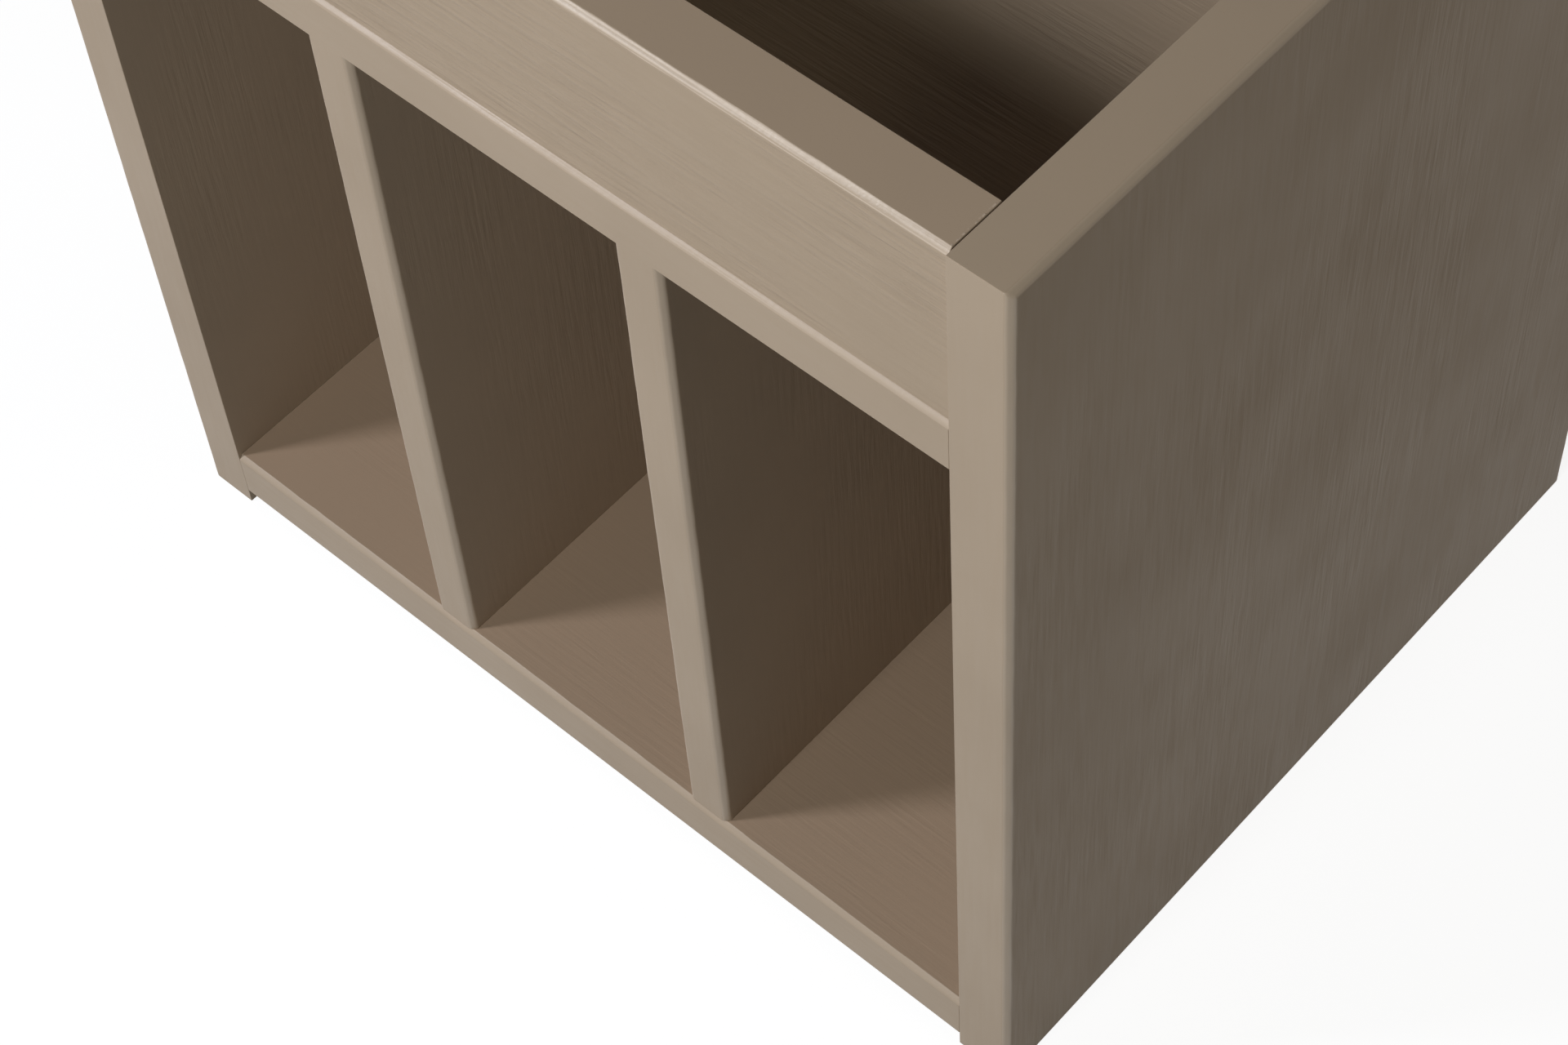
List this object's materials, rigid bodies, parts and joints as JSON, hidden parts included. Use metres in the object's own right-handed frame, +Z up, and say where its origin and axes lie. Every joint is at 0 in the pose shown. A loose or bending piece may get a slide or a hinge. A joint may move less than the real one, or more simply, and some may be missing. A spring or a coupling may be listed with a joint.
{
  "type": "record cabinet",
  "caption": "Open record cabinet of painted brushed boards: upright record bays under an open-topped bin with a low front apron.",
  "frame": {"origin": "on the floor, under the middle of the cabinet", "axes": "+X to the cabinet's right as seen from the front, +Y to its back, +Z up"},
  "size_m": [0.437, 0.36, 0.471],
  "materials": {
    "painted_upright": "taupe satin paint over brushed softwood, grain upright",
    "painted_level": "taupe satin paint over brushed softwood, grain level",
    "painted_back": "taupe satin paint on thin sheet",
    "dowel_wood": "bare beech",
    "plated_steel": "zinc plated",
    "cast_zinc": "die cast, matt"
  },
  "bodies": {
    "root": {"side_panel_left": "painted_upright", "side_panel_right": "painted_upright", "divider_left": "painted_upright", "divider_right": "painted_upright", "bottom_shelf": "painted_level", "middle_shelf": "painted_level", "front_apron": "painted_level", "back_panel": "painted_back", "bottom_shelf_dowels": "dowel_wood", "middle_shelf_dowels": "dowel_wood", "divider_dowels": "dowel_wood", "apron_dowels": "dowel_wood", "bottom_shelf_cam_bolts": "plated_steel", "middle_shelf_cam_bolts": "plated_steel", "apron_cam_bolts": "plated_steel", "divider_screws": "plated_steel", "back_panel_screws": "plated_steel", "bottom_shelf_cams": "cast_zinc", "middle_shelf_cams": "cast_zinc", "apron_cams": "cast_zinc"}
  },
  "joints": []
}
